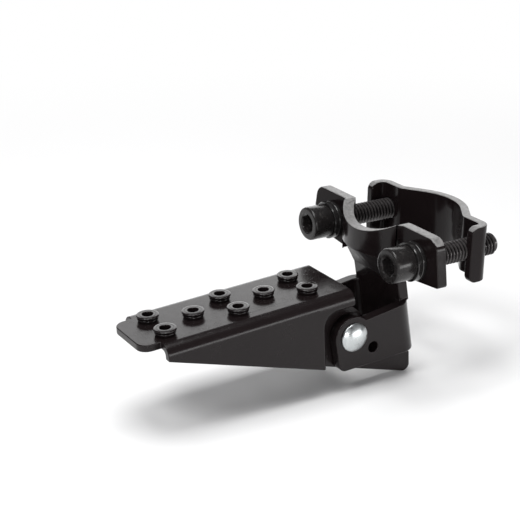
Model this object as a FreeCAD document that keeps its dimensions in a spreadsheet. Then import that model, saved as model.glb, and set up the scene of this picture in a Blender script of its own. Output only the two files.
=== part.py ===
"""Folding motorcycle footpeg with a two-part clamp for a round tube.

Frame: millimetres, +Z up along the clamped tube, +X from the tip of the peg towards the clamp,
Y along the pivot. The origin is the middle of the clamp bore, level with the clamp screws.
The peg itself is drawn about its pivot (x towards the clamp, z square to the tread) and is then
placed at the pivot with its droop.
"""
import FreeCAD, Part
import math
import os

import Sketcher

Vector = FreeCAD.Vector
Rotation = FreeCAD.Rotation
Placement = FreeCAD.Placement

# Driving dimensions, alias: (value, what it is), millimetres and degrees
SIZES = {
    "peg_droop": (3.5, "angle of the tread below square to the clamped tube, degrees"),
    "pivot_forward": (33.4, "pivot in front of the tube axis"),
    "pivot_below": (27.9, "pivot below the clamp screws"),
    "pivot_radius": (4.0, "rivet shank radius"),
    "pivot_running_gap": (0.05, "radial gap of the turning tread on the rivet"),
    "tread_gauge": (2.5, "sheet thickness of the tread"),
    "joggle_depth": (3.8, "side of the tread outside its pivot plate"),
    "tread_bend_radius": (4.0, "outside radius of the two long bends"),
    "tread_top": (17.0, "top face of the tread above the pivot"),
    "tread_tip": (78.5, "tip edge in front of the pivot"),
    "tread_end": (1.2, "inner end of the tread behind the pivot"),
    "tongue_length": (7.0, "bare tongue in front of the flanges"),
    "tongue_width": (21.6, "width of the tongue"),
    "tongue_corner": (4.0, "corner radius of the tongue"),
    "flange_tip_drop": (5.2, "depth of the flange below the tread face at its tip end"),
    "flange_slope": (19.8, "angle of the flange bottom edge to the tread, degrees"),
    "recess_forward": (11.0, "front edge of the joggle in front of the pivot"),
    "recess_above": (11.0, "upper edge of the joggle above the pivot"),
    "recess_corner": (5.0, "corner radius of the joggle"),
    "recess_shoulder": (1.5, "rounded shoulder of the joggle"),
    "heel_length": (27.3, "end of the heel behind the pivot"),
    "heel_below": (15.0, "top of the heel below the pivot"),
    "heel_corner": (2.5, "lower corner radius of the heel"),
    "heel_top_corner": (1.0, "upper corner radius of the heel"),
    "heel_front": (19.5, "front of the upright edge above the heel"),
    "stud_pitch": (13.8, "spacing of the stud rows"),
    "stud_spacing": (12.6, "spacing across a pair of studs"),
    "stud_tip_margin": (11.2, "outermost stud row behind the tip of the tread"),
    "stud_lip_radius": (3.7, "radius of the stud lip"),
    "stud_shank_radius": (2.7, "radius of the stud in its hole"),
    "stud_bore_radius": (1.8, "radius of the hole through the stud"),
    "stud_height": (2.3, "height of the stud above the tread"),
    "stud_lip_height": (1.1, "height of the stud lip"),
    "stud_foot_height": (0.6, "reach of the stud under the tread"),
    "stud_seat_gap": (0.02, "radial gap of the stud in its hole"),
    "rivet_seat_gap": (0.02, "radial gap of the rivet in the ears"),
    "bracket_gauge": (4.0, "plate thickness of the bracket"),
    "plate_side_gap": (0.3, "play between an ear and the pivot plate of the tread"),
    "ear_gap": (25.0, "clear width between the two ears"),
    "ear_bend_radius": (2.5, "inside radius of the bends from web to ears"),
    "ear_nose_radius": (7.5, "radius of the ear round the pivot"),
    "ear_bottom": (12.4, "ear bottom edge below the pivot"),
    "ear_corner": (3.0, "corner radius at the foot of the ear"),
    "ear_bottom_fall": (0.6, "fall of the lower edge of the ears along their length"),
    "ear_valley_step": (1, "step from the round nose into the valley of the ears"),
    "ear_valley": (5.0, "height of the ear top edge above the pivot, next to the nose"),
    "ear_rise": (1.3, "rise of the ear top edge towards the web"),
    "web_behind": (22.9, "front face of the web behind the pivot"),
    "web_rake": (10.5, "backward lean of the web from the tube axis, degrees"),
    "web_width": (27.0, "width of the web above the ears"),
    "web_foot_width": (22.4, "width of the foot of the web"),
    "web_foot_gap": (0.1, "gap between the foot of the web and the heel"),
    "arch_foot_level": (2.5, "level below the screws where the arch starts to flatten"),
    "web_fold_level": (13.0, "level below the screws where the web turns into the arch"),
    "jig_hole_radius": (2.0, "small hole in each ear"),
    "jig_hole_behind": (8.2, "small hole behind the pivot"),
    "jig_hole_below": (6.3, "small hole below the pivot"),
    "tube_radius": (19.05, "radius of the clamped tube, and of both arches"),
    "front_arch_angle": (45.0, "half angle of the front arch, degrees"),
    "rear_arch_angle": (34.0, "half angle of the rear arch, degrees"),
    "clamp_bend_radius": (1.0, "inside radius of the clamp bends"),
    "front_flange_back": (11.1, "back face of the front flanges in front of the tube axis"),
    "front_strip_top": (10.4, "top edge of the front flanges above the screws"),
    "front_strip_bottom": (8.3, "bottom edge of the front flanges below the screws, at the web"),
    "front_strip_end_bottom": (6.2, "bottom edge of the front flanges below the screws, at the end"),
    "front_edge_margin": (10.8, "end of the front clamp half past the screw axis, at its top"),
    "front_foot_edge_margin": (13.4, "end of the front clamp half past the screw axis, at its bottom"),
    "front_corner": (4.5, "radius of the upper outer corners"),
    "front_foot_corner": (1.2, "radius of the lower outer corners"),
    "arch_dip": (4.7, "dip of the top edge in the middle of the arch"),
    "relief_width": (2.2, "width of the relief slots between web and flanges"),
    "strap_gauge": (3.0, "plate thickness of the rear strap"),
    "strap_height": (20.6, "height of the rear strap"),
    "strap_drop": (0.5, "middle of the rear strap below the screws"),
    "strap_flange_front": (10.5, "front face of the rear flanges behind the tube axis"),
    "strap_edge_margin": (6.1, "outside of a hook past the screw axis"),
    "hook_bend_radius": (1.5, "inside radius of the hook bends"),
    "hook_reach": (5.8, "length of the hooks in front of the rear flanges"),
    "hook_corner": (3.0, "corner radius of the hooks"),
    "screw_beside_tube": (5.75, "screw axis beside the surface of the tube"),
    "screw_radius": (3.97, "radius of the screw thread"),
    "screw_length": (38.1, "length of the screw under its head"),
    "screw_hole_radius": (4.5, "radius of the screw holes"),
    "head_radius": (6.2, "radius of the screw head"),
    "head_height": (8.0, "height of the screw head"),
    "head_edge": (0.8, "rounded edge of the screw head"),
    "socket_flats": (6.35, "width across flats of the hexagon socket"),
    "socket_depth": (4.0, "depth of the hexagon socket"),
    "spring_washer_radius": (6.9, "outside radius of the split washer"),
    "spring_washer_height": (2.0, "thickness of the split washer"),
    "spring_washer_split": (1.2, "width of the split"),
    "flat_washer_radius": (6.95, "outside radius of the flat washer"),
    "flat_washer_height": (1.6, "thickness of the flat washer"),
    "washer_bore_gap": (0.2, "radial gap of the washers on the screw"),
    "thread_gap": (0.05, "radial gap between the screw thread and the tapped holes of the strap"),
    "rivet_head_radius": (5.3, "radius of the domed rivet head"),
    "rivet_head_height": (2.6, "height of the domed rivet head"),
    "rivet_foot_radius": (5.6, "radius of the formed rivet end"),
    "rivet_foot_height": (1.8, "height of the formed rivet end"),
}

doc = FreeCAD.newDocument("footpeg")
sheet = doc.addObject("Spreadsheet::Sheet", "Sizes")
for row, (alias, (value, note)) in enumerate(SIZES.items(), start=1):
    sheet.set("A%d" % row, note)
    sheet.set("B%d" % row, str(value))
    sheet.setAlias("B%d" % row, alias)
doc.recompute()


def size(alias):
    """Value of one driving dimension, read from the sheet."""
    return float(sheet.get(alias))


def tangent(degrees):
    return math.tan(math.radians(degrees))


def screw_side():
    """Distance of a screw axis from the middle plane."""
    return size("tube_radius") + size("screw_beside_tube")


DROOP = Rotation(Vector(0, 1, 0), -size("peg_droop"))
PIVOT = Placement(Vector(-size("pivot_forward"), 0, -size("pivot_below")), DROOP)


# Sketch and feature helpers

def origin_plane(body, role):
    """One of the three origin planes of a body, such as XZ_Plane."""
    for item in body.Origin.OriginFeatures:
        if item.Role == role:
            return item
    raise ValueError(role)


def new_body(label, placement=None):
    body = doc.addObject("PartDesign::Body", label)
    body.Label = label
    if placement is not None:
        body.Placement = placement
    return body


def new_sketch(body, name, role, offset=None):
    """Sketch on an origin plane; offset is an expression for its distance along the plane normal."""
    sketch = body.newObject("Sketcher::SketchObject", name)
    sketch.AttachmentSupport = [(origin_plane(body, role), "")]
    sketch.MapMode = "FlatFace"
    if offset is not None:
        sketch.setExpression("AttachmentOffset.Base.z", offset)
    doc.recompute()
    return sketch


def fix_point(sketch, geometry, position, across, up):
    """Bind one point of a sketch to two expressions."""
    point = sketch.getPoint(geometry, position)
    for kind, now, expression in (("DistanceX", point.x, across), ("DistanceY", point.y, up)):
        index = sketch.addConstraint(Sketcher.Constraint(kind, -1, 1, geometry, position, now))
        sketch.setExpression("Constraints[%d]" % index, expression)


def evaluate(expression):
    return float(FreeCAD.Units.Quantity(sheet.evalExpression(expression)).Value)


def add_polygon(sketch, corners):
    """Closed outline whose corners are pairs of expressions."""
    points = []
    for across, up in corners:
        points.append(Vector(evaluate(across), evaluate(up), 0))
    first = sketch.GeometryCount
    for start, end in zip(points, points[1:] + points[:1]):
        sketch.addGeometry(Part.LineSegment(start, end), False)
    count = len(points)
    for index in range(count):
        this_line = first + index
        next_line = first + (index + 1) % count
        sketch.addConstraint(Sketcher.Constraint("Coincident", this_line, 2, next_line, 1))
    for index, (across, up) in enumerate(corners):
        fix_point(sketch, first + index, 1, across, up)
    doc.recompute()


def add_circle(sketch, across, up, radius):
    """Circle whose centre and radius are expressions."""
    centre = Vector(evaluate(across), evaluate(up), 0)
    index = sketch.addGeometry(Part.Circle(centre, Vector(0, 0, 1), evaluate(radius)), False)
    turn = sketch.addConstraint(Sketcher.Constraint("Radius", index, evaluate(radius)))
    sketch.setExpression("Constraints[%d]" % turn, radius)
    if abs(centre.x) + abs(centre.y) < 1e-9:
        sketch.addConstraint(Sketcher.Constraint("Coincident", index, 3, -1, 1))
    else:
        fix_point(sketch, index, 3, across, up)
    doc.recompute()


def add_hexagon(sketch, flats):
    """Hexagon about the origin with two flats level; flats is an expression for its width."""
    corner = "(%s) / sqrt(3)" % flats
    corners = []
    for turn in range(6):
        corners.append(("(%s) * cos(%d deg)" % (corner, 60 * turn), "(%s) * sin(%d deg)" % (corner, 60 * turn)))
    add_polygon(sketch, corners)


def pad(body, name, sketch, length, both_ways=False, backwards=False):
    feature = body.newObject("PartDesign::Pad", name)
    feature.Profile = sketch
    feature.setExpression("Length", length)
    feature.Midplane = both_ways
    feature.Reversed = backwards
    doc.recompute()
    return feature


def pocket(body, name, sketch, length, both_ways=False, backwards=False):
    """Pocket that has to take material away."""
    before = body.Shape.Volume
    feature = body.newObject("PartDesign::Pocket", name)
    feature.Profile = sketch
    feature.setExpression("Length", length)
    feature.Midplane = both_ways
    feature.Reversed = backwards
    doc.recompute()
    if body.Shape.Volume > before - 1e-6:
        raise RuntimeError("%s cuts nothing" % name)
    return feature


def revolve(body, name, sketch, axis):
    """Full turn of a sketch about its own H_Axis or V_Axis."""
    feature = body.newObject("PartDesign::Revolution", name)
    feature.Profile = sketch
    feature.ReferenceAxis = (sketch, [axis])
    feature.Angle = 360
    doc.recompute()
    return feature


def round_edges(body, name, feature, radius, wanted):
    """Fillet on the edges of a feature whose middle point answers to wanted(point, edge)."""
    names = []
    for index, edge in enumerate(feature.Shape.Edges, start=1):
        middle = edge.valueAt((edge.FirstParameter + edge.LastParameter) / 2)
        if wanted(middle, edge):
            names.append("Edge%d" % index)
    if not names:
        raise RuntimeError("%s finds no edge" % name)
    fillet = body.newObject("PartDesign::Fillet", name)
    fillet.Base = (feature, names)
    fillet.setExpression("Radius", radius)
    doc.recompute()
    return fillet


def near(first, second, reach=0.05):
    return abs(first - second) < reach


# Footpeg tread: one folded channel, joggled inwards where it passes between the ears

# Outside width of the tread, as an expression for its sketches
WIDE = "(Sizes.ear_gap - 2 * Sizes.plate_side_gap + 2 * Sizes.joggle_depth)"


def make_tread():
    body = new_body("footpeg_tread", PIVOT)
    gauge = size("tread_gauge")
    half = evaluate(WIDE) / 2
    top = size("tread_top")
    tip = -size("tread_tip")
    inner_face = size("ear_gap") / 2 - size("plate_side_gap")

    section = new_sketch(body, "tread_section", "YZ_Plane", "-Sizes.tread_tip")
    add_polygon(section, [
        ("-" + WIDE + " / 2", "Sizes.tread_top"),
        (WIDE + " / 2", "Sizes.tread_top"),
        (WIDE + " / 2", "-Sizes.heel_length"),
        (WIDE + " / 2 - Sizes.tread_gauge", "-Sizes.heel_length"),
        (WIDE + " / 2 - Sizes.tread_gauge", "Sizes.tread_top - Sizes.tread_gauge"),
        ("Sizes.tread_gauge - " + WIDE + " / 2", "Sizes.tread_top - Sizes.tread_gauge"),
        ("Sizes.tread_gauge - " + WIDE + " / 2", "-Sizes.heel_length"),
        ("-" + WIDE + " / 2", "-Sizes.heel_length"),
    ])
    channel = pad(body, "channel", section, "Sizes.tread_tip + Sizes.tread_end")

    def outer_bend(point, edge):
        return near(abs(point.y), half) and near(point.z, top) and edge.Length > size("tread_tip")

    def inner_bend(point, edge):
        return near(abs(point.y), half - gauge) and near(point.z, top - gauge)

    bends = round_edges(body, "outer_bends", channel, "Sizes.tread_bend_radius", outer_bend)
    round_edges(body, "inner_bends", bends, "Sizes.tread_bend_radius - Sizes.tread_gauge", inner_bend)

    side = new_sketch(body, "pivot_plates_outline", "XZ_Plane")
    add_polygon(side, [
        ("-Sizes.recess_forward - Sizes.tread_gauge", "Sizes.recess_above + Sizes.tread_gauge"),
        ("Sizes.tread_end", "Sizes.recess_above + Sizes.tread_gauge"),
        ("Sizes.tread_end", "Sizes.recess_above"),
        ("Sizes.heel_front", "-Sizes.heel_below / 2"),
        ("Sizes.heel_front", "-Sizes.heel_below"),
        ("Sizes.heel_length", "-Sizes.heel_below"),
        ("Sizes.heel_length", "-Sizes.heel_length"),
        ("-Sizes.recess_forward - Sizes.tread_gauge", "-Sizes.heel_length"),
    ])
    pad(body, "pivot_plates", side, WIDE, both_ways=True)

    hollow = new_sketch(body, "inside_outline", "XZ_Plane")
    add_polygon(hollow, [
        ("-Sizes.recess_forward - 2 * Sizes.tread_gauge", "Sizes.tread_top - Sizes.tread_gauge"),
        ("2 * Sizes.heel_length", "Sizes.tread_top - Sizes.tread_gauge"),
        ("2 * Sizes.heel_length", "-2 * Sizes.heel_length"),
        ("-Sizes.recess_forward - 2 * Sizes.tread_gauge", "-2 * Sizes.heel_length"),
    ])
    between = "Sizes.ear_gap - 2 * Sizes.plate_side_gap - 2 * Sizes.tread_gauge"
    pocket(body, "inside", hollow, between, both_ways=True)

    recess = new_sketch(body, "joggle_outline", "XZ_Plane", WIDE + " / 2")
    add_polygon(recess, [
        ("-Sizes.recess_forward", "Sizes.recess_above"),
        ("2 * Sizes.heel_length", "Sizes.recess_above"),
        ("2 * Sizes.heel_length", "-2 * Sizes.heel_length"),
        ("-Sizes.recess_forward", "-2 * Sizes.heel_length"),
    ])
    cut = pocket(body, "joggle", recess, "Sizes.joggle_depth")
    mirrored = body.newObject("PartDesign::Mirrored", "joggle_far")
    mirrored.Originals = [cut]
    mirrored.MirrorPlane = (origin_plane(body, "XZ_Plane"), [""])
    body.Tip = mirrored
    doc.recompute()

    def joggle_corner(point, edge):
        upright = near(point.x, -size("recess_forward")) and near(point.z, size("recess_above"))
        return upright and abs(point.y) > inner_face

    corners = round_edges(body, "joggle_corners", mirrored, "Sizes.recess_corner", joggle_corner)

    def shoulder(point, edge):
        on_face = near(abs(point.y), half)
        front = near(point.x, -size("recess_forward")) and point.z < size("recess_above")
        upper = near(point.z, size("recess_above")) and point.x > -size("recess_forward")
        bend = abs(point.x) < size("recess_forward") and abs(point.z) < size("recess_above")
        return on_face and (front or upper or bend)

    corners = round_edges(body, "joggle_shoulders", corners, "Sizes.recess_shoulder", shoulder)

    under = new_sketch(body, "bottom_edge_outline", "XZ_Plane")
    slope = "tan(Sizes.flange_slope * 1 deg)"
    start = "Sizes.tread_top - Sizes.flange_tip_drop"
    reach = "2 * Sizes.heel_length"
    add_polygon(under, [
        ("Sizes.tongue_length - Sizes.tread_tip", start),
        (reach, "%s - %s * (%s + Sizes.tread_tip - Sizes.tongue_length)" % (start, slope, reach)),
        (reach, "-3 * Sizes.tread_tip"),
        ("-2 * Sizes.tread_tip", "-3 * Sizes.tread_tip"),
        ("-2 * Sizes.tread_tip", start),
    ])
    pocket(body, "bottom_edge", under, "2 * " + WIDE, both_ways=True)

    tongue = new_sketch(body, "tongue_outline", "XY_Plane", "Sizes.tread_top")
    for side_sign in ("", "-"):
        add_polygon(tongue, [
            ("-2 * Sizes.tread_tip", side_sign + "Sizes.tongue_width / 2"),
            ("Sizes.tongue_length - Sizes.tread_tip", side_sign + "Sizes.tongue_width / 2"),
            ("Sizes.tongue_length - Sizes.tread_tip", side_sign + WIDE),
            ("-2 * Sizes.tread_tip", side_sign + WIDE),
        ])
    trimmed = pocket(body, "tongue", tongue, "Sizes.tread_top + 2 * Sizes.heel_length")

    def tongue_corner(point, edge):
        return near(point.x, tip) and near(abs(point.y), size("tongue_width") / 2)

    rounded = round_edges(body, "tongue_corners", trimmed, "Sizes.tongue_corner", tongue_corner)

    def heel_lower_corner(point, edge):
        at_end = near(point.x, size("heel_length")) and near(edge.Length, gauge)
        return at_end and point.z < -size("heel_below") - 1

    def heel_upper_corner(point, edge):
        at_end = near(point.x, size("heel_length")) and near(edge.Length, gauge)
        return at_end and near(point.z, -size("heel_below"))

    rounded = round_edges(body, "heel_corners", rounded, "Sizes.heel_corner", heel_lower_corner)
    rounded = round_edges(body, "heel_top_corners", rounded, "Sizes.heel_top_corner", heel_upper_corner)

    pivot = new_sketch(body, "pivot_hole_outline", "XZ_Plane")
    add_circle(pivot, "0", "0", "Sizes.pivot_radius + Sizes.pivot_running_gap")
    pocket(body, "pivot_hole", pivot, "2 * " + WIDE, both_ways=True)

    holes = new_sketch(body, "stud_holes_outline", "XY_Plane", "Sizes.tread_top")
    for across, up in stud_places():
        add_circle(holes, across, up, "Sizes.stud_shank_radius + Sizes.stud_seat_gap")
    pocket(body, "stud_holes", holes, "2 * Sizes.tread_gauge")
    return body


def stud_places():
    """Expressions for the stud centres, rows of 2-1-2-1-2 from the tip."""
    places = []
    for row in range(5):
        across = "%d * Sizes.stud_pitch + Sizes.stud_tip_margin - Sizes.tread_tip" % row
        if row % 2:
            places.append((across, "0"))
        else:
            places.append((across, "Sizes.stud_spacing / 2"))
            places.append((across, "-Sizes.stud_spacing / 2"))
    return places


def make_stud(label, place):
    """Hollow stud, swaged into the tread from above."""
    across, up = place
    on_tread = Placement(Vector(evaluate(across), evaluate(up), size("tread_top")), Rotation())
    body = new_body(label, PIVOT.multiply(on_tread))
    profile = new_sketch(body, label + "_profile", "XZ_Plane")
    add_polygon(profile, [
        ("Sizes.stud_bore_radius", "Sizes.stud_height"),
        ("Sizes.stud_lip_radius", "Sizes.stud_height"),
        ("Sizes.stud_lip_radius", "Sizes.stud_height - Sizes.stud_lip_height"),
        ("Sizes.stud_shank_radius", "0"),
        ("Sizes.stud_shank_radius", "-Sizes.tread_gauge - Sizes.stud_foot_height"),
        ("Sizes.stud_bore_radius", "-Sizes.tread_gauge - Sizes.stud_foot_height"),
    ])
    revolve(body, label + "_turned", profile, "V_Axis")
    return body


# Bent plates: the path of one face, offset by the plate thickness

def offset_corners(corners, distance):
    """Corners of a polyline moved sideways, to its left for a positive distance."""
    lines = []
    for start, end in zip(corners, corners[1:]):
        along = (end - start).normalize()
        aside = Vector(-along.y, along.x, 0) * distance
        lines.append((start + aside, end + aside))
    moved = [lines[0][0]]
    for (start, end), (other_start, other_end) in zip(lines, lines[1:]):
        along = end - start
        other = other_end - other_start
        cross = along.x * other.y - along.y * other.x
        gap = other_start - start
        share = (gap.x * other.y - gap.y * other.x) / cross
        moved.append(start + along * share)
    moved.append(lines[-1][1])
    return moved


def rounded_path(corners, radii):
    """Edges of a polyline whose inner corners are rounded."""
    edges = []
    start = corners[0]
    for before, corner, after, radius in zip(corners, corners[1:], corners[2:], radii):
        into = (corner - before).normalize()
        out_of = (after - corner).normalize()
        turn = into.getAngle(out_of)
        cut_back = radius * math.tan(turn / 2)
        first = corner - into * cut_back
        last = corner + out_of * cut_back
        bisector = (out_of - into).normalize()
        middle = corner + bisector * (radius / math.cos(turn / 2) - radius)
        edges.append(Part.LineSegment(start, first).toShape())
        edges.append(Part.Arc(first, middle, last).toShape())
        start = last
    edges.append(Part.LineSegment(start, corners[-1]).toShape())
    return edges


def bent_plate(corners, radii, thickness):
    """Face of a bent plate seen end-on. The path is one face, the plate lies to its left.

    Each radius is that of the bend on the path itself.
    """
    other_radii = []
    for before, corner, after, radius in zip(corners, corners[1:], corners[2:], radii):
        into = corner - before
        out_of = after - corner
        turns_left = into.x * out_of.y - into.y * out_of.x > 0
        other_radii.append(radius - thickness if turns_left else radius + thickness)
    other = offset_corners(corners, thickness)
    edges = rounded_path(corners, radii)
    other_edges = rounded_path(other, other_radii)
    edges.append(Part.LineSegment(corners[-1], other[-1]).toShape())
    edges.extend(reversed(other_edges))
    edges.append(Part.LineSegment(other[0], corners[0]).toShape())
    return Part.Face(Part.Wire(Part.__sortEdges__(edges)))


def prism(face, direction):
    return face.extrude(direction)


def rounded_outline(corners, radii):
    """Face inside a closed outline; radii round its corners, 0 leaves one sharp."""
    edges = []
    count = len(corners)
    tangents = []
    for index, radius in enumerate(radii):
        before, corner, after = corners[index - 1], corners[index], corners[(index + 1) % count]
        into = (corner - before).normalize()
        out_of = (after - corner).normalize()
        turn = into.getAngle(out_of)
        cut_back = radius * math.tan(turn / 2)
        bisector = (out_of - into).normalize()
        middle = corner + bisector * (radius / math.cos(turn / 2) - radius)
        tangents.append((corner - into * cut_back, middle, corner + out_of * cut_back))
    for index in range(count):
        first, middle, last = tangents[index]
        if radii[index] > 0:
            edges.append(Part.Arc(first, middle, last).toShape())
        following = tangents[(index + 1) % count][0]
        if last.distanceToPoint(following) > 1e-6:
            edges.append(Part.LineSegment(last, following).toShape())
    return Part.Face(Part.Wire(edges))


def add_part(label, shape, placement=None):
    """Part::Feature that holds a shape worked out from the sheet."""
    feature = doc.addObject("Part::Feature", label)
    feature.Label = label
    feature.Shape = shape
    if placement is not None:
        feature.Placement = placement
    return feature


def cylinder_along(axis, radius, length, centre):
    """Cylinder centred on a point."""
    return Part.makeCylinder(radius, length, centre - axis * (length / 2), axis)


# Pivot bracket: ears, web, arched front clamp half and its flanges, folded from one plate

def clamp_corners(apex_side, degrees, flange_x, flange_y, tail):
    """Face towards the tube of one clamp half, from -Y to +Y; apex_side is -1 in front, +1 behind."""
    angle = math.radians(degrees)
    apex_x = apex_side * size("tube_radius") / math.cos(angle)
    bend_y = (abs(apex_x) - abs(flange_x)) / math.tan(angle)
    corners = [Vector(flange_x, -bend_y, 0), Vector(apex_x, 0, 0), Vector(flange_x, bend_y, 0)]
    corners = [Vector(flange_x, -flange_y, 0)] + corners + [Vector(flange_x, flange_y, 0)]
    if tail:
        corners = [Vector(tail, -flange_y, 0)] + corners + [Vector(tail, flange_y, 0)]
    return corners


def web_front(level):
    """x of the raked web's front face at a level of z."""
    start = PIVOT.multVec(Vector(size("web_behind"), 0, 0))
    return start.x - (level - start.z) * tangent(size("web_rake"))


def front_clamp_strip():
    """Arch and flanges as an upright bent strip, trimmed to their outline."""
    gauge = size("bracket_gauge")
    bend = size("clamp_bend_radius")
    wide = 2 * (screw_side() + size("front_foot_edge_margin"))
    corners = clamp_corners(-1, size("front_arch_angle"), -size("front_flange_back"), wide, None)
    radii = [bend + gauge, size("tube_radius"), bend + gauge]
    face = bent_plate(corners, radii, gauge)
    deep = size("front_strip_bottom") + size("front_strip_top")
    face.translate(Vector(0, 0, -size("front_strip_bottom")))
    strip = prism(face, Vector(0, 0, deep))

    top = size("front_strip_top")
    arch_foot = size("arch_foot_level")
    slot = size("web_width") / 2 + size("relief_width")
    high = screw_side() + size("front_edge_margin")
    low = screw_side() + size("front_foot_edge_margin")
    foot_end = -size("front_strip_end_bottom")
    foot = -size("front_strip_bottom")
    points = [
        Vector(0, slot, foot), Vector(0, low, foot_end), Vector(0, high, top), Vector(0, -high, top),
        Vector(0, -low, foot_end), Vector(0, -slot, foot), Vector(0, -slot, -arch_foot),
        Vector(0, slot, -arch_foot),
    ]
    radii = [0, size("front_foot_corner"), size("front_corner"), size("front_corner"),
             size("front_foot_corner"), 0, 0, 0]
    outline = rounded_outline(points, radii)
    outline.translate(Vector(-4 * size("tube_radius"), 0, 0))
    strip = strip.common(prism(outline, Vector(8 * size("tube_radius"), 0, 0)))

    dip = size("arch_dip")
    angle = size("front_arch_angle")
    apex = size("tube_radius") / math.cos(math.radians(angle))
    chord = (apex - size("front_flange_back")) / tangent(angle)
    sweep = (chord ** 2 + dip ** 2) / (2 * dip)
    centre = Vector(0, 0, top - dip + sweep)
    strip = strip.cut(cylinder_along(Vector(1, 0, 0), sweep, 8 * size("tube_radius"), centre))
    return strip


def arch_section(level):
    """Section of the arch at one level, as wide as the web."""
    half = size("web_width") / 2
    rows = []
    for radius in (size("tube_radius") + size("bracket_gauge"), size("tube_radius")):
        side = -math.sqrt(radius ** 2 - half ** 2)
        rows.append((Vector(side, -half, level), Vector(-radius, 0, level), Vector(side, half, level)))
    return section_wire(rows[0], rows[1])


def web_section(level):
    """Section of the raked web at one level, with a trace of the arch left in it."""
    half = size("web_width") / 2
    thick = size("bracket_gauge") / math.cos(math.radians(size("web_rake")))
    rows = []
    for x in (web_front(level), web_front(level) + thick):
        rows.append((Vector(x, -half, level), Vector(x - 0.01, 0, level), Vector(x, half, level)))
    return section_wire(rows[0], rows[1])


def section_wire(front, back):
    edges = [
        Part.Arc(front[0], front[1], front[2]).toShape(),
        Part.LineSegment(front[2], back[2]).toShape(),
        Part.Arc(back[2], back[1], back[0]).toShape(),
        Part.LineSegment(back[0], front[0]).toShape(),
    ]
    return Part.Wire(edges)


def clevis():
    """Two ears and the lower web, bent as a U and trimmed in side view."""
    gauge = size("bracket_gauge")
    inner = size("ear_gap") / 2
    bend = size("ear_bend_radius")
    reach = -2 * size("pivot_forward")
    path = [Vector(reach, inner, 0), Vector(0, inner, 0), Vector(0, -inner, 0), Vector(reach, -inner, 0)]
    face = bent_plate(path, [bend, bend], gauge)
    tall = 4 * size("pivot_below")
    face.translate(Vector(0, 0, -tall / 2))
    folded = prism(face, Vector(0, 0, tall))
    start = PIVOT.multVec(Vector(size("web_behind"), 0, 0))
    folded.Placement = Placement(start, Rotation(Vector(0, 1, 0), -size("web_rake")))
    return folded


def ear_outline():
    """Side view of the ears about the pivot, drawn in the frame of the tread."""
    nose = size("ear_nose_radius")
    bottom = -size("ear_bottom")
    valley = size("ear_valley")
    far = 2 * size("web_behind")
    rise = size("ear_rise") / (size("web_behind") - nose)
    valley_x = math.sqrt(nose ** 2 - valley ** 2)
    slant = size("ear_corner") / 2
    corners = [
        Vector(slant - nose, 0, bottom), Vector(far, 0, bottom - size("ear_bottom_fall")),
        Vector(far, 0, valley + rise * far), Vector(valley_x - size("ear_valley_step"), 0, valley),
        Vector(0, 0, valley), Vector(0, 0, 0), Vector(-nose, 0, 0),
    ]
    outline = rounded_outline(corners, [size("ear_corner"), 0, 0, 0, 0, 0, 0])
    wide = 4 * size("ear_gap")
    outline.translate(Vector(0, -wide / 2, 0))
    block = prism(outline, Vector(0, wide, 0))
    round_nose = cylinder_along(Vector(0, 1, 0), nose, wide, Vector(0, 0, 0))
    block = block.fuse(round_nose)
    block.Placement = PIVOT
    return block


def make_bracket():
    gauge = size("bracket_gauge")
    half = size("web_width") / 2
    fold = -size("web_fold_level")

    strip = front_clamp_strip()
    arch = Part.makeLoft([web_section(fold), arch_section(-size("arch_foot_level"))], True, True)

    ears = clevis().common(ear_outline())
    foot = PIVOT.multVec(Vector(size("heel_length"), 0, -size("heel_below") + size("web_foot_gap"))).z
    thick = gauge / math.cos(math.radians(size("web_rake")))
    side = [
        Vector(web_front(fold), 0, fold), Vector(web_front(fold) + thick, 0, fold),
        Vector(web_front(foot) + thick, 0, foot), Vector(web_front(foot), 0, foot),
    ]
    web = Part.Face(Part.makePolygon(side + side[:1]))
    web.translate(Vector(0, -half, 0))
    web = prism(web, Vector(0, 2 * half, 0))
    narrow = size("web_foot_width") / 2
    reach = 8 * size("tube_radius")
    ear_top = PIVOT.multVec(Vector(size("web_behind"), 0, size("ear_valley") + size("ear_rise"))).z
    for sign in (-1, 1):
        side_y = narrow if sign > 0 else -narrow - half
        trim = Part.makeBox(reach, half, reach, Vector(-reach / 2, side_y, ear_top - reach))
        web = web.cut(trim)

    shape = strip.fuse([arch, web, ears]).removeSplitter()
    pivot = PIVOT.multVec(Vector(0, 0, 0))
    across = Vector(0, 1, 0)
    rivet_hole = size("pivot_radius") + size("rivet_seat_gap")
    shape = shape.cut(cylinder_along(across, rivet_hole, 4 * size("ear_gap"), pivot))
    jig = PIVOT.multVec(Vector(size("jig_hole_behind"), 0, -size("jig_hole_below")))
    shape = shape.cut(cylinder_along(across, size("jig_hole_radius"), 4 * size("ear_gap"), jig))
    for sign in (-1, 1):
        hole = Vector(-size("front_flange_back"), sign * screw_side(), 0)
        shape = shape.cut(cylinder_along(Vector(1, 0, 0), size("screw_hole_radius"), 6 * gauge, hole))
    return add_part("pivot_bracket", shape)


# Rear clamp strap: arch, flanges and the two hooks

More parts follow.
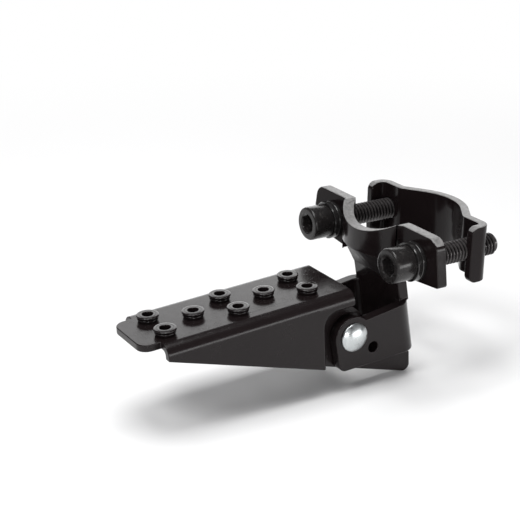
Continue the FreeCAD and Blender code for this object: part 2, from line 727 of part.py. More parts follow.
def make_strap():
    gauge = size("strap_gauge")
    bend = size("clamp_bend_radius")
    hook = size("hook_bend_radius")
    flange = size("strap_flange_front")
    tail = flange - size("hook_reach")
    side = screw_side() + size("strap_edge_margin") - gauge
    corners = clamp_corners(1, size("rear_arch_angle"), flange, side, tail)
    corners.reverse()
    radii = [hook, bend + gauge, size("tube_radius"), bend + gauge, hook]
    face = bent_plate(corners, radii, gauge)
    height = size("strap_height")
    bottom = -size("strap_drop") - height / 2
    face.translate(Vector(0, 0, bottom))
    shape = prism(face, Vector(0, 0, height))
    tapped = size("screw_radius") + size("thread_gap")
    for sign in (-1, 1):
        hole = Vector(flange, sign * screw_side(), 0)
        shape = shape.cut(cylinder_along(Vector(1, 0, 0), tapped, 6 * gauge, hole))
    edges = []
    for edge in shape.Edges:
        middle = edge.valueAt((edge.FirstParameter + edge.LastParameter) / 2)
        at_end = near(middle.z, bottom) or near(middle.z, bottom + height)
        if near(middle.x, tail) and at_end and near(edge.Length, gauge):
            edges.append(edge)
    shape = shape.makeFillet(size("hook_corner"), edges)
    return add_part("rear_clamp_strap", shape)


# Fasteners

def along_x(x, y):
    """Placement that turns a part's own +Z to +X, on a clamp screw's axis."""
    return Placement(Vector(x, y, 0), Rotation(Vector(0, 1, 0), 90))


def screw_seat_x():
    """x of the underside of the screw heads."""
    stack = size("bracket_gauge") + size("flat_washer_height") + size("spring_washer_height")
    return -size("front_flange_back") - stack


def make_screw(label, y):
    """Socket head cap screw; own origin under the head, shank along its +Z."""
    body = new_body(label, along_x(screw_seat_x(), y))
    profile = new_sketch(body, label + "_profile", "XZ_Plane")
    add_polygon(profile, [
        ("0", "-Sizes.head_height"),
        ("Sizes.head_radius - Sizes.head_edge", "-Sizes.head_height"),
        ("Sizes.head_radius", "Sizes.head_edge - Sizes.head_height"),
        ("Sizes.head_radius", "0"),
        ("Sizes.screw_radius", "0"),
        ("Sizes.screw_radius", "Sizes.screw_length - 1"),
        ("Sizes.screw_radius - 1", "Sizes.screw_length"),
        ("0", "Sizes.screw_length"),
    ])
    revolve(body, label + "_turned", profile, "V_Axis")
    socket = new_sketch(body, label + "_socket_outline", "XY_Plane", "-Sizes.head_height")
    add_hexagon(socket, "Sizes.socket_flats")
    pocket(body, label + "_socket", socket, "Sizes.socket_depth", backwards=True)
    return body


def make_ring(label, placement, radius, height):
    """Plain washer; radius and height are expressions."""
    body = new_body(label, placement)
    outline = new_sketch(body, label + "_outline", "XY_Plane")
    add_circle(outline, "0", "0", radius)
    add_circle(outline, "0", "0", "Sizes.screw_radius + Sizes.washer_bore_gap")
    pad(body, label + "_ring", outline, height)
    return body


def make_spring_washer(label, y):
    placement = along_x(screw_seat_x(), y)
    body = make_ring(label, placement, "Sizes.spring_washer_radius", "Sizes.spring_washer_height")
    split = new_sketch(body, label + "_split_outline", "XZ_Plane")
    add_polygon(split, [
        ("-Sizes.spring_washer_split", "-1"),
        ("0", "-1"),
        ("Sizes.spring_washer_split", "Sizes.spring_washer_height + 1"),
        ("0", "Sizes.spring_washer_height + 1"),
    ])
    pocket(body, label + "_split", split, "2 * Sizes.spring_washer_radius", backwards=True)
    return body


def make_rivet():
    """Domed rivet through both ears; own +Z points to the near side."""
    placement = Placement(PIVOT.Base, Rotation(Vector(1, 0, 0), 90))
    body = new_body("pivot_rivet", placement)
    profile = new_sketch(body, "rivet_profile", "XZ_Plane")
    side = "Sizes.ear_gap / 2 + Sizes.bracket_gauge"
    head = "Sizes.rivet_head_radius"
    high = "Sizes.rivet_head_height"
    corners = [("0", "-(%s) - Sizes.rivet_foot_height" % side),
               ("Sizes.rivet_foot_radius - 1.2", "-(%s) - Sizes.rivet_foot_height" % side),
               ("Sizes.rivet_foot_radius", "-(%s) - 0.4" % side),
               ("Sizes.rivet_foot_radius", "-(%s)" % side),
               ("Sizes.pivot_radius", "-(%s)" % side),
               ("Sizes.pivot_radius", side),
               (head, side)]
    for angle in (30, 58):
        corners.append(("%s * cos(%d deg)" % (head, angle), "%s + %s * sin(%d deg)" % (side, high, angle)))
    corners.append(("0", "%s + %s" % (side, high)))
    add_polygon(profile, corners)
    revolve(body, "rivet_turned", profile, "V_Axis")
    return body


# Assembly

pieces = [make_tread()]
for number, place in enumerate(stud_places(), start=1):
    pieces.append(make_stud("stud_%d" % number, place))
pieces.append(make_bracket())
pieces.append(make_strap())
pieces.append(make_rivet())
washer_x = -size("front_flange_back") - size("bracket_gauge") - size("flat_washer_height")
for side_name, side_y in (("near", -screw_side()), ("far", screw_side())):
    pieces.append(make_screw("screw_" + side_name, side_y))
    pieces.append(make_spring_washer("spring_washer_" + side_name, side_y))
    pieces.append(make_ring("flat_washer_" + side_name, along_x(washer_x, side_y),
                            "Sizes.flat_washer_radius", "Sizes.flat_washer_height"))

doc.recompute()
for item in doc.Objects:
    if "Invalid" in item.State or "Error" in item.State:
        raise RuntimeError("%s is %s" % (item.Label, item.State))
for piece in pieces:
    if piece.Shape.isNull() or not piece.Shape.isValid():
        raise RuntimeError("%s has no valid shape" % piece.Label)

os.makedirs("parts", exist_ok=True)
for piece in pieces:
    piece.Shape.exportStep("parts/%s.step" % piece.Label)
    box = piece.Shape.BoundBox
    print("%-22s solids %d  volume %9.1f  x %7.2f %7.2f  y %7.2f %7.2f  z %7.2f %7.2f" % (
        piece.Label, len(piece.Shape.Solids), piece.Shape.Volume,
        box.XMin, box.XMax, box.YMin, box.YMax, box.ZMin, box.ZMax))
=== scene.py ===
import math

import bmesh
import bpy
from mathutils import Matrix, Vector


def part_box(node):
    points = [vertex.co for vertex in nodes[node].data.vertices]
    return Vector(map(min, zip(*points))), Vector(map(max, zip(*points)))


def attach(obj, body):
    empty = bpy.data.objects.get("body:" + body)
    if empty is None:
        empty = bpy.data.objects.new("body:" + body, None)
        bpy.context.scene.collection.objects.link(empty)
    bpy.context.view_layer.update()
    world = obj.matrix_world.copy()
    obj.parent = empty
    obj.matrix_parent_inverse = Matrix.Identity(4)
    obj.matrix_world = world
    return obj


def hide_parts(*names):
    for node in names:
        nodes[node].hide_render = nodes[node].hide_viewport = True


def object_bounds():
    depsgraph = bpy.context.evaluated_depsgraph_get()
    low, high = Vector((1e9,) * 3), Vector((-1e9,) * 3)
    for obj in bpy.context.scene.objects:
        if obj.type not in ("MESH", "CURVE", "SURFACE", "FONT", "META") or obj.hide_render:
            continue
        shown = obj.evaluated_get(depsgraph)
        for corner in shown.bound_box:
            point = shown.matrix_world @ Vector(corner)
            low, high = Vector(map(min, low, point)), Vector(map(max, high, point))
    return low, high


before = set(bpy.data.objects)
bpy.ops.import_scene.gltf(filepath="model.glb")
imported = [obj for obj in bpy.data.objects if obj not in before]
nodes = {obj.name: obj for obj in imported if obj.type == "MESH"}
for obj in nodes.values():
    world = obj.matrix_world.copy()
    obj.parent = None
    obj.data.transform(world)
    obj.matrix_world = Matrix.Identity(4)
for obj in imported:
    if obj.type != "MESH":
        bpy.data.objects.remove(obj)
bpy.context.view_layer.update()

MM = 0.001

# Values repeated from the part's source, in millimetres and degrees

PEG_DROOP = 3.5
SCREW_RADIUS = 3.97
SCREW_LENGTH = 38.1
HEAD_RADIUS = 6.2
HEAD_HEIGHT = 8.0
SOCKET_FLATS = 6.35
SOCKET_DEPTH = 4.0
SPRING_WASHER_RADIUS = 6.9
SPRING_WASHER_HEIGHT = 2.0
FLAT_WASHER_RADIUS = 6.95
FLAT_WASHER_HEIGHT = 1.6
WASHER_BORE = 4.17
STUD_SHANK = 2.7
STUD_BORE = 1.8
STUD_HEIGHT = 2.3
TREAD_GAUGE = 2.5
STUD_FOOT = 0.6
PIVOT_RADIUS = 4.0
EAR_OUTSIDE = 16.5
RIVET_HEAD = 5.3
RIVET_HEAD_HEIGHT = 2.6
RIVET_FOOT = 5.6
RIVET_FOOT_HEIGHT = 1.8

# Values of the visible detail only, in millimetres

SCREW_PITCH = 1.411
THREAD_DEPTH = 0.82
TREAD_EDGE = 0.3
BRACKET_EDGE = 0.45
STRAP_EDGE = 0.4

# Rounding of the sheet pieces: closeness in millimetres at which points are merged, degrees
# below which a fold is flat and above which it is an edge, and least z of an upward normal

WELD = 0.01
FLAT_ANGLE = 1.0
SHARP_ANGLE = 40
UPWARD = 0.55

# Order of the bracket's materials

FACE_COAT, TOP_EDGE_PAINTED_LIGHT, FOLD_COAT, FLANGE_COAT = range(4)


# Materials

class Nodes:
    """Short way to add and link the nodes of one material."""

    def __init__(self, name):
        self.material = bpy.data.materials.new(name)
        self.material.use_nodes = True
        self.tree = self.material.node_tree
        self.tree.nodes.clear()
        self.out = self.add("ShaderNodeOutputMaterial")
        self.coords = self.add("ShaderNodeTexCoord").outputs["Object"]

    def add(self, kind, **values):
        """New node with its own settings."""
        node = self.tree.nodes.new(kind)
        for key, value in values.items():
            setattr(node, key, value)
        return node

    def link(self, source, target):
        self.tree.links.new(source, target)

    def noise(self, scale, detail=2.0, roughness=0.5, stretch=None):
        """Noise in object space, drawn out along the axes by stretch."""
        node = self.add("ShaderNodeTexNoise")
        node.inputs["Scale"].default_value = scale
        node.inputs["Detail"].default_value = detail
        node.inputs["Roughness"].default_value = roughness
        if stretch:
            mapping = self.add("ShaderNodeMapping")
            mapping.inputs["Scale"].default_value = stretch
            self.link(self.coords, mapping.inputs["Vector"])
            self.link(mapping.outputs["Vector"], node.inputs["Vector"])
        else:
            self.link(self.coords, node.inputs["Vector"])
        return node.outputs["Fac"]

    def ramp(self, fac, stops):
        """Colour or grey between the stops, each a place and a value."""
        node = self.add("ShaderNodeValToRGB")
        self.link(fac, node.inputs["Fac"])
        elements = node.color_ramp.elements
        while len(elements) < len(stops):
            elements.new(0.5)
        for element, (place, colour) in zip(elements, stops):
            element.position = place
            if not isinstance(colour, tuple):
                colour = (colour, colour, colour)
            element.color = (*colour, 1.0)
        return node.outputs["Color"]

    def bump(self, height, distance, strength=1.0, normal=None):
        """Fine relief, distance in metres, laid over another normal if one is given."""
        node = self.add("ShaderNodeBump")
        node.inputs["Strength"].default_value = strength
        node.inputs["Distance"].default_value = distance
        self.link(height, node.inputs["Height"])
        if normal:
            self.link(normal, node.inputs["Normal"])
        return node.outputs["Normal"]

    def shader(self, **values):
        """Surface shader, with its inputs named by underscores for spaces."""
        node = self.add("ShaderNodeBsdfPrincipled")
        for key, value in values.items():
            node.inputs[key.replace("_", " ")].default_value = value
        self.link(node.outputs["BSDF"], self.out.inputs["Surface"])
        return node


def coat_material(name, rough, peel=0.000012, scratches=False, ior=1.31):
    """Black powder coat: fine orange peel and an uneven gloss."""
    dark = (0.0088, 0.0060, 0.0063)
    light = (0.0108, 0.0078, 0.0081)
    m = Nodes(name)
    shader = m.shader(IOR=ior, Coat_Weight=0.1, Coat_Roughness=0.05, Coat_IOR=1.35)
    colour = m.ramp(m.noise(60, 3.0, 0.5), [(0.3, dark), (0.75, light)])
    m.link(colour, shader.inputs["Base Color"])
    gloss = m.ramp(m.noise(420, 3.0), [(0.3, rough[0]), (0.75, rough[1])])
    m.link(gloss, shader.inputs["Roughness"])
    normal = m.bump(m.noise(700, 1.0), peel, 0.15)
    normal = m.bump(m.noise(130, 1.0), peel, 0.3, normal)
    if scratches:
        long_noise = m.noise(300, 6.0, 0.8, (1.0, 9.0, 1.0))
        marks = m.ramp(long_noise, [(0.68, 0.0), (0.73, 1.0)])
        normal = m.bump(marks, 0.00002, 0.3, normal)
    m.link(normal, shader.inputs["Normal"])
    return m.material


def top_edge_painted_light_material(name):
    """Top cut edge of the sheet: duller than the faces, and coloured lighter grey as painted light
    from above.
    """
    # Painted light: this grey stands in for the light falling on the upward-facing top edge.
    dark = (0.13, 0.127, 0.126)
    light = (0.27, 0.265, 0.262)
    m = Nodes(name)
    shader = m.shader(IOR=1.35, Coat_Weight=0.1, Coat_Roughness=0.3, Coat_IOR=1.4)
    colour = m.ramp(m.noise(700, 5.0, 0.7), [(0.3, dark), (0.7, light)])
    m.link(colour, shader.inputs["Base Color"])
    gloss = m.ramp(m.noise(500, 3.0), [(0.3, 0.38), (0.7, 0.55)])
    m.link(gloss, shader.inputs["Roughness"])
    m.link(m.bump(m.noise(1100, 4.0), 0.00003, 0.6), shader.inputs["Normal"])
    return m.material


def oxide_material(name, base, worn, rough, ior=1.36):
    """Black oxide on steel, worn to grey in places."""
    m = Nodes(name)
    shader = m.shader(IOR=ior, Metallic=0.05, Coat_Weight=0.12, Coat_Roughness=0.08)
    wear = m.ramp(m.noise(520, 6.0, 0.75), [(0.56, base), (0.74, worn)])
    m.link(wear, shader.inputs["Base Color"])
    gloss = m.ramp(m.noise(350, 3.0), [(0.3, rough[0]), (0.7, rough[1])])
    m.link(gloss, shader.inputs["Roughness"])
    m.link(m.bump(m.noise(1400, 3.0), 0.00001, 0.5), shader.inputs["Normal"])
    return m.material


def thread_material(name):
    """Rolled thread: black in the roots, with a painted highlight along the crests where the mesh
    is most pointed.
    """
    root = (0.008, 0.007, 0.007)
    crest = (0.085, 0.078, 0.078)
    m = Nodes(name)
    shader = m.shader(IOR=1.5, Metallic=0.5)
    # Painted highlight: the crests' lighter colour, set by pointiness, stands in for the glint of
    # light along them.
    pointed = m.add("ShaderNodeNewGeometry").outputs["Pointiness"]
    crest_highlight_mask = m.add("ShaderNodeMath", operation="MULTIPLY_ADD")
    crest_highlight_mask.inputs[1].default_value = 0.05
    m.link(m.noise(1500, 3.0), crest_highlight_mask.inputs[0])
    m.link(pointed, crest_highlight_mask.inputs[2])
    colour = m.ramp(crest_highlight_mask.outputs[0], [(0.515, root), (0.57, crest)])
    m.link(colour, shader.inputs["Base Color"])
    gloss = m.ramp(m.noise(600, 3.0), [(0.3, 0.22), (0.7, 0.36)])
    m.link(gloss, shader.inputs["Roughness"])
    return m.material


def zinc_material(name):
    """Bright zinc plate on the rivet, uneven and with faint dents."""
    dark = (0.50, 0.525, 0.53)
    light = (0.64, 0.67, 0.67)
    m = Nodes(name)
    shader = m.shader(IOR=1.5, Metallic=1.0)
    colour = m.ramp(m.noise(240, 4.0, 0.6), [(0.3, dark), (0.7, light)])
    m.link(colour, shader.inputs["Base Color"])
    gloss = m.ramp(m.noise(500, 4.0), [(0.3, 0.24), (0.75, 0.40)])
    m.link(gloss, shader.inputs["Roughness"])
    m.link(m.bump(m.noise(420, 4.0, 0.65), 0.00007, 0.6), shader.inputs["Normal"])
    return m.material


tread_coat = coat_material("tread_coat_look", (0.20, 0.29), peel=0.000006, scratches=True)
stud_coat = coat_material("stud_coat_look", (0.10, 0.17), peel=0.000004, ior=1.42)
bracket_coat = coat_material("bracket_coat_look", (0.15, 0.26))
strap_coat = coat_material("strap_coat_look", (0.12, 0.20), ior=1.22)
fold_coat = coat_material("fold_coat_look", (0.50, 0.60))
flange_coat = coat_material("flange_coat_look", (0.15, 0.26), ior=1.12)
top_edge_painted_light = top_edge_painted_light_material("top_edge_painted_light_look")
screw_oxide = oxide_material("screw_oxide_look", (0.014, 0.0125, 0.0125), (0.07, 0.065, 0.062),
                             (0.20, 0.34))
washer_oxide = oxide_material("washer_oxide_look", (0.016, 0.015, 0.015), (0.07, 0.068, 0.066),
                              (0.10, 0.20), ior=1.6)
thread_steel = thread_material("thread_steel_look")
rivet_zinc = zinc_material("rivet_zinc_look")


# Mesh helpers

def finish_mesh(name, mesh, materials, place=None, angle=35):
    """Object from a mesh in millimetres, moved to its place and scaled to metres.

    Edges sharper than angle, in degrees, stay sharp.
    """
    mesh.transform(Matrix.Scale(MM, 4) @ (place or Matrix()))
    for face in mesh.polygons:
        face.use_smooth = True
    mesh.set_sharp_from_angle(angle=math.radians(angle))
    for material in materials:
        mesh.materials.append(material)
    piece = bpy.data.objects.new(name, mesh)
    bpy.context.scene.collection.objects.link(piece)
    return piece


def mesh_from(bm, name):
    """Mesh with its faces turned outwards; the working mesh is freed."""
    bmesh.ops.recalc_face_normals(bm, faces=bm.faces)
    mesh = bpy.data.meshes.new(name)
    bm.to_mesh(mesh)
    bm.free()
    return mesh


def around(radius, step, segments):
    """Point (x, y) of one step of a circle."""
    turn = 2 * math.pi * step / segments
    return radius * math.cos(turn), radius * math.sin(turn)


def turned(name, profile, segments=96, closed=False):
    """Mesh turned about Z from a profile of (radius, height) points."""
    bm = bmesh.new()
    rings = []
    for radius, height in profile:
        count = segments if radius > 1e-6 else 1
        rings.append([bm.verts.new((*around(radius, step, segments), height))
                      for step in range(count)])
    pairs = list(zip(rings[:-1], rings[1:]))
    if closed:
        pairs.append((rings[-1], rings[0]))
    for low, high in pairs:
        for step in range(segments):
            after = (step + 1) % segments
            if len(low) == 1:
                bm.faces.new((low[0], high[after], high[step]))
            elif len(high) == 1:
                bm.faces.new((low[step], low[after], high[0]))
            else:
                bm.faces.new((low[step], low[after], high[after], high[step]))
    return mesh_from(bm, name)


def arc(centre, radius, start, end, steps):
    """Points of (radius, height) on an arc, angles in degrees."""
    points = []
    for step in range(steps + 1):
        turn = math.radians(start + (end - start) * step / steps)
        points.append((centre[0] + radius * math.cos(turn), centre[1] + radius * math.sin(turn)))
    return points


def middle(node):
    """Centre of a node's box, in millimetres."""
    low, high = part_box(node)
    return (Vector(low) + Vector(high)) / 2 / MM


# Tread, bracket and strap: the sheet pieces with their edges rounded

def cramped(edge, sharp, least):
    """True where a short sharp edge meets others at a corner, too tight to round."""
    if edge.calc_length() > least:
        return False
    for vert in edge.verts:
        others = [other for other in vert.link_edges if other in sharp and other != edge]
        if len(others) != 1:
            return True
        along = (edge.other_vert(vert).co - vert.co).normalized()
        onward = (vert.co - others[0].other_vert(vert).co).normalized()
        if along.angle(onward, 0.0) > math.radians(25):
            return True
    return False


def dressed_sheet(name, node, materials, width, choose=None):
    """Copy of a sheet node with its edges rounded to width.

    Every point stays inside the node's box. choose(normal, centre) gives a face the number
    of its material.
    """
    bm = bmesh.new()
    bm.from_mesh(nodes[node].data)
    bmesh.ops.scale(bm, vec=(1 / MM, 1 / MM, 1 / MM), verts=bm.verts)
    bmesh.ops.remove_doubles(bm, verts=bm.verts, dist=WELD)
    bmesh.ops.dissolve_degenerate(bm, edges=bm.edges, dist=2 * WELD)
    bmesh.ops.dissolve_limit(bm, angle_limit=math.radians(FLAT_ANGLE), verts=bm.verts,
                             edges=bm.edges)
    edges = []
    for edge in bm.edges:
        if len(edge.link_faces) == 2 and edge.calc_face_angle(0.0) > math.radians(SHARP_ANGLE):
            edges.append(edge)
    sharp = set(edges)
    rounded = [edge for edge in edges if not cramped(edge, sharp, 1.3 * width)]
    bmesh.ops.bevel(bm, geom=rounded, offset=width, offset_type="OFFSET", segments=3,
                    profile=0.5, affect="EDGES", clamp_overlap=False, loop_slide=True)
    bmesh.ops.remove_doubles(bm, verts=bm.verts, dist=WELD / 2)
    low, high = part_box(node)
    for vert in bm.verts:
        for axis in range(3):
            vert.co[axis] = min(max(vert.co[axis], low[axis] / MM), high[axis] / MM)
    bmesh.ops.recalc_face_normals(bm, faces=bm.faces)
    for face in bm.faces:
        face.material_index = choose(face.normal, face.calc_center_median()) if choose else 0
    piece = finish_mesh(name, mesh_from(bm, name), materials, angle=50)
    modifier = piece.modifiers.new("face_normals", "WEIGHTED_NORMAL")
    modifier.keep_sharp = True
    return piece


def bracket_faces(normal, centre):
    """Material of a face of the bracket, by where it lies.

    The top edge is cut sheet, lighter grey as painted light from above, the fronts of the screw
    flanges reflect less, and the fold between arch and web is duller.
    """
    # Painted light: upward faces high on the bracket take the lighter grey of the lit top edge.
    if normal.z > UPWARD and centre.z > 4.0:
        return TOP_EDGE_PAINTED_LIGHT
    if normal.x < -0.8 and abs(centre.y) > 14.5 and centre.z > -12.0:
        return FLANGE_COAT
    in_fold = -13.5 < centre.z < -2.4 and abs(centre.y) < 13.6
    return FOLD_COAT if in_fold else FACE_COAT


def strap_faces(normal, centre):
    """Cut edge along the top of the strap, coloured lighter grey as painted light from above."""
    # Painted light: upward faces along the top take the lighter grey of the lit top edge.
    return TOP_EDGE_PAINTED_LIGHT if normal.z > UPWARD and centre.z > 8.0 else FACE_COAT


tread = dressed_sheet("tread_plate", "footpeg_tread", [tread_coat], TREAD_EDGE)
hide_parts("footpeg_tread")
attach(tread, "peg")

bracket_coats = [bracket_coat, top_edge_painted_light, fold_coat, flange_coat]
bracket = dressed_sheet("bracket_plate", "pivot_bracket", bracket_coats, BRACKET_EDGE,
                        bracket_faces)
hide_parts("pivot_bracket")
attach(bracket, "clamp_bracket")

strap = dressed_sheet("strap_plate", "rear_clamp_strap", [strap_coat, top_edge_painted_light], STRAP_EDGE,
                      strap_faces)
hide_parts("rear_clamp_strap")
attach(strap, "rear_clamp")


# Grip studs: a rolled lip over a second ring, hollow right through

def stud_mesh(name):
    """Stud along +Z, own origin on top of the tread."""
    bottom = -TREAD_GAUGE - STUD_FOOT
    profile = [(STUD_BORE, bottom), (STUD_SHANK, bottom), (STUD_SHANK, 0.0)]
    # Second ring, standing on a low foot
    profile += [(3.3, 0.0), (3.3, 0.35)]
    profile += arc((3.2, 0.82), 0.42, -75, 75, 8)
    # Neck and lip
    profile += [(3.16, 1.3), (3.2, 1.42)]
    profile += arc((3.52, 1.86), 0.38, -88, 88, 10)
    # Shallow groove in the flat top, then the rounded mouth of the bore
    profile += [(2.96, 2.27), (2.9, 2.19), (2.8, 2.19), (2.74, 2.27)]
    profile += arc((2.12, 2.05), 0.25, 80, 180, 6)
    return turned(name, profile, 56, closed=True)


droop = Matrix.Rotation(math.radians(-PEG_DROOP), 4, "Y")
stud_middle = (STUD_HEIGHT - TREAD_GAUGE - STUD_FOOT) / 2
for number in range(1, 9):
    node = "stud_%d" % number
    centre = Matrix.Translation(middle(node))
    place = centre @ droop @ Matrix.Translation((0, 0, -stud_middle))
    stud = finish_mesh("grip_" + node, stud_mesh("grip_" + node), [stud_coat], place, 40)
    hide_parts(node)
    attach(stud, "peg")


# Clamp screws: socket head and a rolled thread

HEAD_SEGMENTS = 72
END_CHAMFER = 1.0


def add_head(bm):
    """Head with its rounded rim and hexagon socket, from z = 0 to its top at -HEAD_HEIGHT."""
    segments = HEAD_SEGMENTS
    half_flats = SOCKET_FLATS / 2
    corner = half_flats / math.cos(math.pi / 6)
    top = -HEAD_HEIGHT
    rim = 0.9

    def ring(radius, height):
        return [bm.verts.new((*around(radius, step, segments), height))
                for step in range(segments)]

    def hexagon(scale, height):
        verts = []
        for step in range(segments):
            turn = 2 * math.pi * step / segments
            wrapped = (turn + math.pi / 6) % (math.pi / 3) - math.pi / 6
            radius = scale * half_flats / math.cos(wrapped)
            verts.append(bm.verts.new((*around(radius, step, segments), height)))
        return verts

    rings = [ring(SCREW_RADIUS - 0.4, 0.0), ring(HEAD_RADIUS - 0.25, 0.0)]
    rings += [ring(HEAD_RADIUS - 0.07, -0.07), ring(HEAD_RADIUS, -0.25)]
    for radius, height in arc((HEAD_RADIUS - rim, top + rim), rim, 0, -90, 6):
        rings.append(ring(radius, height))
    rings += [ring(corner + 0.22, top), ring(corner + 0.02, top + 0.14)]
    rings += [hexagon(1.0, top + 0.42), hexagon(1.0, top + SOCKET_DEPTH)]
    rings.append(hexagon(0.85, top + SOCKET_DEPTH))
    for first, second in zip(rings[:-1], rings[1:]):
        for step in range(segments):
            after = (step + 1) % segments
            bm.faces.new((first[step], first[after], second[after], second[step]))
    drill_point = bm.verts.new((0, 0, top + SOCKET_DEPTH + 0.8))
    for step in range(segments):
        bm.faces.new((rings[-1][step], rings[-1][(step + 1) % segments], drill_point))


def add_thread(bm, segments=40):
    """Helical thread from the head to the chamfered end."""
    turns = int(SCREW_LENGTH / SCREW_PITCH) + 1
    root = SCREW_RADIUS - THREAD_DEPTH
    # Share of the pitch and radius: root, its far side, then both sides of the crest
    form = [(0.0, root), (0.1, root), (0.46, SCREW_RADIUS), (0.60, SCREW_RADIUS)]
    rows = []
    for step in range(segments * turns + 1):
        row = []
        for offset, radius in form:
            height = SCREW_PITCH * (step / segments + offset) - 0.5 * SCREW_PITCH
            height = max(0.0, min(SCREW_LENGTH, height))
            radius = min(radius, SCREW_RADIUS - END_CHAMFER + SCREW_LENGTH - height)
            row.append(bm.verts.new((*around(radius, step, segments), height)))
        rows.append(row)
    for step in range(segments * turns):
        row, after = rows[step:step + 2]
        for column in range(len(form) - 1):
            bm.faces.new((row[column], after[column], after[column + 1], row[column + 1]))
        if step + segments + 1 < len(rows):
            lower, lower_after = rows[step + segments:step + segments + 2]
            bm.faces.new((row[-1], after[-1], lower_after[0], lower[0]))


def add_end(bm):
    """Flat end of the screw."""
    radius = SCREW_RADIUS - END_CHAMFER
    bm.faces.new([bm.verts.new((*around(radius, step, HEAD_SEGMENTS), SCREW_LENGTH))
                  for step in range(HEAD_SEGMENTS)])


def screw_mesh(name):
    """Socket head cap screw along +Z, own origin under the head; the thread is material 1."""
    bm = bmesh.new()
    add_head(bm)
    add_thread(bm)
    add_end(bm)
    bmesh.ops.dissolve_degenerate(bm, edges=bm.edges, dist=0.0005)
    bmesh.ops.recalc_face_normals(bm, faces=bm.faces)
    for face in bm.faces:
        centre = face.calc_center_median()
        face.material_index = int(centre.z > 0.01 and centre.xy.length < SCREW_RADIUS)
    return mesh_from(bm, name)


def split_ring_mesh(name, inside, outside, height):
    """Spring washer: a ring cut through and sprung a little."""
    bm = bmesh.new()
    steps = 90
    spring = 0.25
    corner = 0.18
    thick = height - spring
    rows = []
    for step in range(steps + 1):
        share = step / steps
        turn = math.radians(3.5 + 353 * share)
        lift = spring * share
        section = [
            (inside + corner, lift), (outside - corner, lift),
            (outside, lift + corner), (outside, lift + thick - corner),
            (outside - corner, lift + thick), (inside + corner, lift + thick),
            (inside, lift + thick - corner), (inside, lift + corner),
        ]
        row = []
        for radius, level in section:
            # The cut slants a little through the ring
            slant = 0.12 * (level - lift - thick / 2) if step in (0, steps) else 0.0
            across = radius * math.cos(turn + slant)
            along = radius * math.sin(turn + slant)
            row.append(bm.verts.new((across, along, level)))
        rows.append(row)
    for first, second in zip(rows[:-1], rows[1:]):
        for step in range(len(first)):
            after = (step + 1) % len(first)
            bm.faces.new((first[step], first[after], second[after], second[step]))
    bm.faces.new(rows[0])
    bm.faces.new(rows[-1])
    return mesh_from(bm, name)


def flat_ring_mesh(name, inside, outside, height):
    """Plain washer with the rounded rim of a punched blank."""
    rim = 0.3
    bevel = 0.1
    profile = [(inside, bevel), (inside + bevel, 0.0), (outside - rim, 0.0)]
    profile += arc((outside - rim, rim), rim, -90, 0, 4)
    profile += arc((outside - rim, height - rim), rim, 0, 90, 4)
    profile += [(inside + bevel, height), (inside, height - bevel)]
    return turned(name, profile, 80, closed=True)


to_x = Matrix.Rotation(math.radians(90), 4, "Y")
for side, roll in (("near", 12), ("far", 31)):
    name = "clamp_screw_" + side
    centre = middle("screw_" + side)
    low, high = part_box("screw_" + side)
    place = Matrix.Translation((low[0] / MM + HEAD_HEIGHT, centre.y, centre.z)) @ to_x
    place = place @ Matrix.Rotation(math.radians(roll), 4, "Z")
    screw = finish_mesh(name, screw_mesh(name), [screw_oxide, thread_steel], place, 32)
    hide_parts("screw_" + side)
    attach(screw, "clamp_bracket")

    name = "split_washer_" + side
    low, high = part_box("spring_washer_" + side)
    place = Matrix.Translation((low[0] / MM, centre.y, centre.z)) @ to_x
    mesh = split_ring_mesh(name, WASHER_BORE, SPRING_WASHER_RADIUS, SPRING_WASHER_HEIGHT)
    washer = finish_mesh(name, mesh, [washer_oxide], place)
    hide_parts("spring_washer_" + side)
    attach(washer, "clamp_bracket")

    name = "plain_washer_" + side
    low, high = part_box("flat_washer_" + side)
    place = Matrix.Translation((low[0] / MM, centre.y, centre.z)) @ to_x
    mesh = flat_ring_mesh(name, WASHER_BORE, FLAT_WASHER_RADIUS, FLAT_WASHER_HEIGHT)
    washer = finish_mesh(name, mesh, [washer_oxide], place)
    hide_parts("flat_washer_" + side)
    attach(washer, "clamp_bracket")


# Pivot rivet: domed head on the near ear, formed end on the far ear

def rivet_mesh(name):
    """Rivet along +Z, own origin half way between the ears, head at the top."""
    foot = -EAR_OUTSIDE - RIVET_FOOT_HEIGHT
    profile = [(0.0, foot), (2.2, foot + 0.03)]
    profile += [(RIVET_FOOT - 1.9, foot + 0.12), (RIVET_FOOT - 1.0, foot + 0.34)]
    profile += arc((RIVET_FOOT - 0.55, foot + 0.95), 0.55, -65, 15, 5)
    profile += [(RIVET_FOOT - 0.08, -EAR_OUTSIDE)]
    profile += [(PIVOT_RADIUS, -EAR_OUTSIDE), (PIVOT_RADIUS, EAR_OUTSIDE)]
    profile += [(RIVET_HEAD - 0.12, EAR_OUTSIDE), (RIVET_HEAD, EAR_OUTSIDE + 0.15)]
    profile += [(RIVET_HEAD, EAR_OUTSIDE + 0.5)]
    # Dome: part of a sphere over the low rim of the head
    half_width = RIVET_HEAD - 0.1
    rise = RIVET_HEAD_HEIGHT - 0.7
    sphere = (half_width ** 2 + rise ** 2) / (2 * rise)
    base = EAR_OUTSIDE + RIVET_HEAD_HEIGHT - sphere
    start = math.degrees(math.acos(half_width / sphere))
    profile += arc((0.0, base), sphere, start, 90, 16)[:-1]
    profile.append((0.0, EAR_OUTSIDE + RIVET_HEAD_HEIGHT))
    return turned(name, profile, 96)


pivot = middle("pivot_rivet")
place = Matrix.Translation((pivot.x, 0, pivot.z)) @ Matrix.Rotation(math.radians(90), 4, "X")
name = "pivot_rivet_plated"
rivet = finish_mesh(name, rivet_mesh(name), [rivet_zinc], place, 60)
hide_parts("pivot_rivet")
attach(rivet, "clamp_bracket")


# Camera, fitted to the photograph: its axes, place in metres and lens

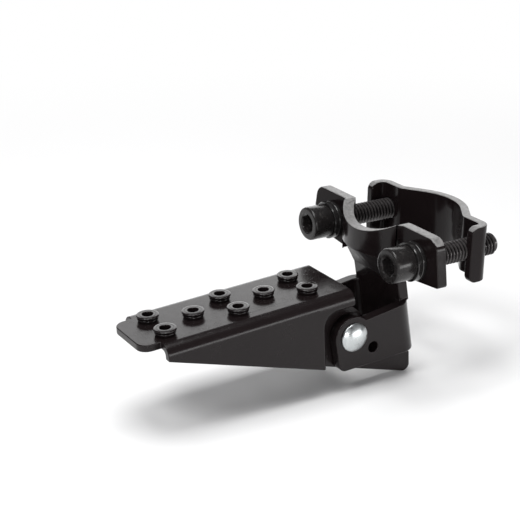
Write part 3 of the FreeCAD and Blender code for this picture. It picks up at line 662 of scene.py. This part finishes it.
right = Vector((0.854105, -0.520018, 0.009232)).normalized()
forward = Vector((0.487828, 0.794827, -0.360934)).normalized()
down = forward.cross(right).normalized()
right = down.cross(forward).normalized()
camera_data = bpy.data.cameras.new("photo_camera")
camera_data.sensor_width = 36.0
camera_data.lens = 90.2
camera_data.clip_start = 0.01
camera = bpy.data.objects.new("photo_camera", camera_data)
turn = Matrix((right, -down, -forward)).transposed()
camera.matrix_world = Matrix.Translation((-0.278013, -0.351909, 0.160703)) @ turn.to_4x4()
bpy.context.scene.collection.objects.link(camera)
bpy.context.scene.camera = camera


# Floor, lamps and surroundings, in metres and watts

def floor_material():
    """Pale matt floor that fades to a white background away from the part, for the camera only."""
    m = Nodes("studio_floor_look")
    diffuse = m.add("ShaderNodeBsdfDiffuse")
    m.link(m.ramp(m.noise(3, 1.0), [(0.3, 0.93), (0.7, 0.95)]), diffuse.inputs["Color"])
    white = m.add("ShaderNodeEmission")
    white.inputs["Strength"].default_value = 1.0
    away = m.add("ShaderNodeVectorMath", operation="LENGTH")
    m.link(m.coords, away.inputs[0])
    fade = m.add("ShaderNodeMapRange", interpolation_type="SMOOTHSTEP")
    fade.inputs["From Min"].default_value = 0.12
    fade.inputs["From Max"].default_value = 0.50
    fade.inputs["To Min"].default_value = 0.03
    fade.inputs["To Max"].default_value = 1.0
    m.link(away.outputs["Value"], fade.inputs["Value"])
    path = m.add("ShaderNodeLightPath")
    share = m.add("ShaderNodeMath", operation="MULTIPLY")
    m.link(path.outputs["Is Camera Ray"], share.inputs[0])
    m.link(fade.outputs["Result"], share.inputs[1])
    mix = m.add("ShaderNodeMixShader")
    m.link(share.outputs[0], mix.inputs["Fac"])
    m.link(diffuse.outputs["BSDF"], mix.inputs[1])
    m.link(white.outputs["Emission"], mix.inputs[2])
    m.link(mix.outputs["Shader"], m.out.inputs["Surface"])
    return m.material


FLOOR_REACH = 3.0
FLOOR_GAP = 0.0001
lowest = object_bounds()[0][2]
corners = [(x * FLOOR_REACH, y * FLOOR_REACH, 0)
           for x, y in ((-1, -1), (1, -1), (1, 1), (-1, 1))]
floor_mesh = bpy.data.meshes.new("studio_floor")
floor_mesh.from_pydata(corners, [], [(0, 1, 2, 3)])
floor_mesh.materials.append(floor_material())
floor = bpy.data.objects.new("studio_floor", floor_mesh)
floor.location = (0, 0, lowest - FLOOR_GAP)
bpy.context.scene.collection.objects.link(floor)


def panel(name, place, width, height, power):
    """Rectangular lamp, turned towards the middle of the part."""
    data = bpy.data.lights.new(name, "AREA")
    data.shape = "RECTANGLE"
    data.size = width
    data.size_y = height
    data.energy = power
    lamp = bpy.data.objects.new(name, data)
    lamp.location = place
    towards = Vector((-0.05, 0.0, -0.02)) - Vector(place)
    lamp.rotation_euler = towards.to_track_quat("-Z", "Y").to_euler()
    bpy.context.scene.collection.objects.link(lamp)


panel("overhead_panel", (-0.10, 0.00, 0.75), 0.45, 0.45, 4.3)
panel("back_panel", (0.50, 0.90, 0.32), 1.3, 0.66, 5.8)
panel("front_strip", (0.43, -0.87, 0.05), 0.8, 0.2, 3.2)
panel("front_panel", (-0.50, -0.85, 0.13), 0.2, 0.14, 1.9)
panel("left_panel", (-0.62, -0.15, 0.72), 0.3, 0.3, 3.2)

# Grey surroundings for the light, white for the camera

world = bpy.data.worlds.new("studio_surround")
world.use_nodes = True
tree = world.node_tree
tree.nodes.clear()
out = tree.nodes.new("ShaderNodeOutputWorld")
path = tree.nodes.new("ShaderNodeLightPath")
ambient = tree.nodes.new("ShaderNodeBackground")
ambient.inputs["Color"].default_value = (0.14, 0.14, 0.145, 1.0)
white = tree.nodes.new("ShaderNodeBackground")
white.inputs["Color"].default_value = (1.0, 1.0, 1.0, 1.0)
mix = tree.nodes.new("ShaderNodeMixShader")
tree.links.new(path.outputs["Is Camera Ray"], mix.inputs["Fac"])
tree.links.new(ambient.outputs["Background"], mix.inputs[1])
tree.links.new(white.outputs["Background"], mix.inputs[2])
tree.links.new(mix.outputs["Shader"], out.inputs["Surface"])
bpy.context.scene.world = world

bpy.context.scene.view_settings.view_transform = "Standard"
